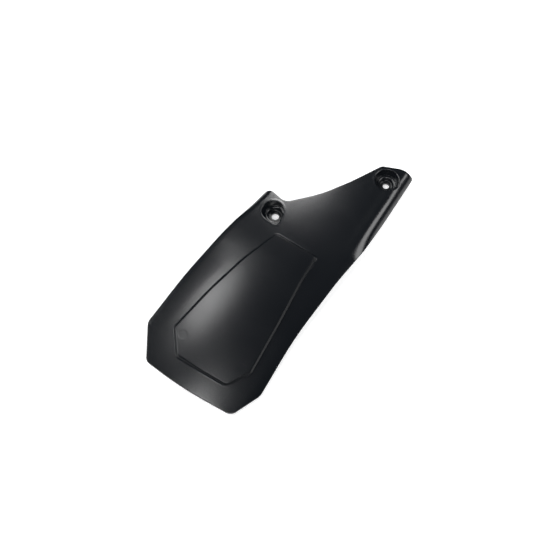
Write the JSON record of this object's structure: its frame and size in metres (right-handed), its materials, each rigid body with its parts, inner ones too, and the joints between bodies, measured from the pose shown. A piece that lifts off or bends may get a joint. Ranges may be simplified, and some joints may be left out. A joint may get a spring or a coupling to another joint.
{
  "type": "motorbike shock mud flap",
  "caption": "Crowned moulded plastic flap with a raised panel, a rolled side edge and stepped screw cups, that shields a motorbike's rear shock.",
  "frame": {"origin": "on the axis of the lower screw hole, in the plane of the cups' back faces, which the flap rests on", "axes": "+Z along the screw axes towards the front face, +Y up the length of the flap towards the upper screw, +X to the right seen from the front"},
  "size_m": [0.1263, 0.286, 0.0177],
  "materials": {
    "black_plastic": "satin moulded black polypropylene"
  },
  "bodies": {
    "root": {"mud_flap": "black_plastic"}
  },
  "joints": []
}
